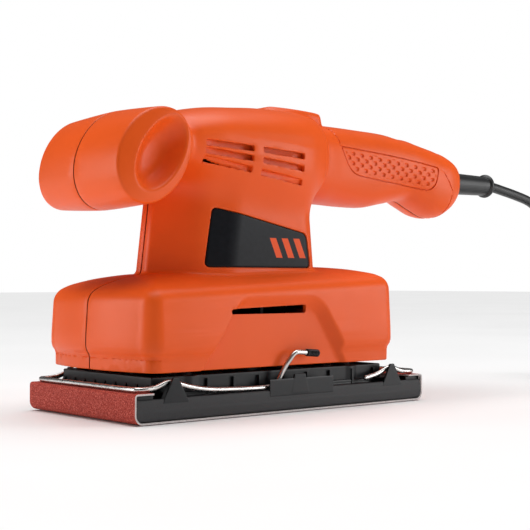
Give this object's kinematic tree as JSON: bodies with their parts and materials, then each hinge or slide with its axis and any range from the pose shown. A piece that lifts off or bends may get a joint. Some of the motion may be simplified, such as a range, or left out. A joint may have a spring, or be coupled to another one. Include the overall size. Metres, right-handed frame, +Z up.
{
  "type": "orbital sander",
  "caption": "Corded orbital finishing sander with a transverse front knob, rear handle, motor neck, skirted base and wire clamps that hold a paper strip over its platen.",
  "frame": {"origin": "centre of the sanding face, on the motor's axis", "axes": "+X to the front, where the transverse knob is; +Y to the tool's left; +Z up, away from the work"},
  "size_m": [0.4724, 0.1516, 0.1574],
  "materials": {
    "housing": "satin moulded ABS with a fine texture",
    "badge": "gloss black panel",
    "black_plastic": "satin moulded nylon",
    "pad_foam": "closed-cell foam pad",
    "abrasive": "red-brown aluminium oxide grit on paper",
    "wire": "zinc-plated spring wire",
    "steel": "ground steel",
    "laminations": "stacked electrical steel",
    "copper": "enamelled copper",
    "brass": "bright brass",
    "carbon": "pressed carbon",
    "rubber": "matt black flexible rubber"
  },
  "bodies": {
    "housing": {"left_shell": "housing", "right_shell": "housing", "left_badge": "badge", "right_badge": "badge", "shell_screw_knob": "wire", "shell_screw_nose": "wire", "shell_screw_skirt_front": "wire", "shell_screw_skirt_rear": "wire", "shell_screw_cover_rear": "wire", "shell_screw_handle_middle": "wire", "shell_screw_handle_rear": "wire", "switch_body": "black_plastic", "strain_relief": "rubber", "cord_clamp": "black_plastic", "cord_clamp_screw_left": "wire", "cord_clamp_screw_right": "wire", "stator_core": "laminations", "field_coil_left": "copper", "field_coil_right": "copper", "lower_bearing_outer_race": "steel", "upper_bearing_outer_race": "steel", "brush_holder_left": "brass", "carbon_brush_left": "carbon", "brush_spring_left": "steel", "brush_holder_right": "brass", "carbon_brush_right": "carbon", "brush_spring_right": "steel", "platen_leg_front_left": "rubber", "platen_leg_front_right": "rubber", "platen_leg_rear_left": "rubber", "platen_leg_rear_right": "rubber", "cord_tube": "rubber", "cord_coil": "rubber", "cord_tail": "rubber", "plug_body": "rubber", "plug_pin_left": "brass", "plug_pin_right": "brass"},
    "rotor": {"armature_shaft": "steel", "armature_core": "laminations", "armature_winding_lower": "copper", "armature_winding_upper": "copper", "commutator": "copper", "cooling_fan": "black_plastic", "counterweight": "steel", "eccentric_screw": "wire", "lower_bearing_inner_race": "steel", "upper_bearing_inner_race": "steel", "eccentric_bearing_inner_race": "steel"},
    "sanding_platen": {"platen": "black_plastic", "backing_pad": "pad_foam", "abrasive_sheet": "abrasive", "eccentric_bearing_outer_race": "steel"},
    "front_clamp": {"front_clamp_wire": "wire", "front_clamp_cap": "black_plastic"},
    "rear_clamp": {"rear_clamp_wire": "wire", "rear_clamp_cap": "black_plastic"},
    "switch": {"switch_rocker": "black_plastic"}
  },
  "joints": [
    {"name": "rotor_spin", "type": "hinge", "parent": "housing", "child": "rotor", "pos_m": [0, 0, 0.09], "axis": [0, 0, 1], "continuous": true},
    {"name": "platen_orbit", "type": "hinge", "parent": "rotor", "child": "sanding_platen", "pos_m": [0.001, 0, 0.0237], "axis": [0, 0, 1], "continuous": true},
    {"name": "front_clamp_release", "type": "hinge", "parent": "sanding_platen", "child": "front_clamp", "pos_m": [0.0728, 0, 0.0183], "axis": [0, -1, 0], "range_deg": [0, 3]},
    {"name": "rear_clamp_release", "type": "hinge", "parent": "sanding_platen", "child": "rear_clamp", "pos_m": [-0.0728, 0, 0.0183], "axis": [0, 1, 0], "range_deg": [0, 3]},
    {"name": "switch_press", "type": "hinge", "parent": "housing", "child": "switch", "pos_m": [-0.036, 0, 0.1516], "axis": [0, 1, 0], "range_deg": [0, 12]}
  ],
  "couplings": [
    {"joint": "platen_orbit", "follows": "rotor_spin", "ratio": -1}
  ]
}
